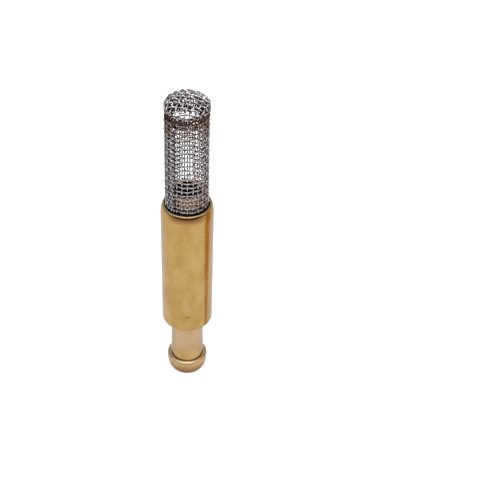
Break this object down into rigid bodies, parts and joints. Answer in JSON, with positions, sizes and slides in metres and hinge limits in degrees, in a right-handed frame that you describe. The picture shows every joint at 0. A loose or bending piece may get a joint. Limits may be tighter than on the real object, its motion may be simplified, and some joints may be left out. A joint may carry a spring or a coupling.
{
  "type": "oil suction nozzle with strainer",
  "caption": "Brass hose nozzle with a beaded nipple, a thick barrel holding a spring ball check valve, and a woven wire strainer with a domed cap.",
  "frame": {"origin": "centre of the hose nipple's end face, which is the bottom of the bounding box", "axes": "+Z along the nozzle's axis from the hose nipple to the strainer's domed cap; the strainer's lapped seam lies towards -X and -Y"},
  "size_m": [0.012, 0.012, 0.0795],
  "materials": {
    "brass_bar": "fine turned, satin with faint mottling",
    "insert_brass": "turned, darkened reddish brown",
    "stainless_cloth": "bright woven wire with straw and brown heat tint near the braze",
    "copper_braze": "dull copper red, lumpy",
    "ball_steel": "polished",
    "spring_steel": "drawn wire",
    "nitrile_rubber": "matte moulded"
  },
  "bodies": {
    "housing": {"body": "brass_bar", "seat_insert": "insert_brass", "seat_ring": "nitrile_rubber", "insert_seal": "nitrile_rubber", "strainer_sleeve": "stainless_cloth", "strainer_cap": "stainless_cloth", "cap_braze": "copper_braze", "valve_spring": "spring_steel"},
    "ball": {"check_ball": "ball_steel"}
  },
  "joints": [
    {"name": "ball_lift", "type": "slide", "parent": "housing", "child": "ball", "axis": [0, 0, -1], "range_m": [0, 0.0016], "stiffness_N_per_m": 60, "springref_m": -0.0015, "deforming": ["valve_spring"]}
  ]
}
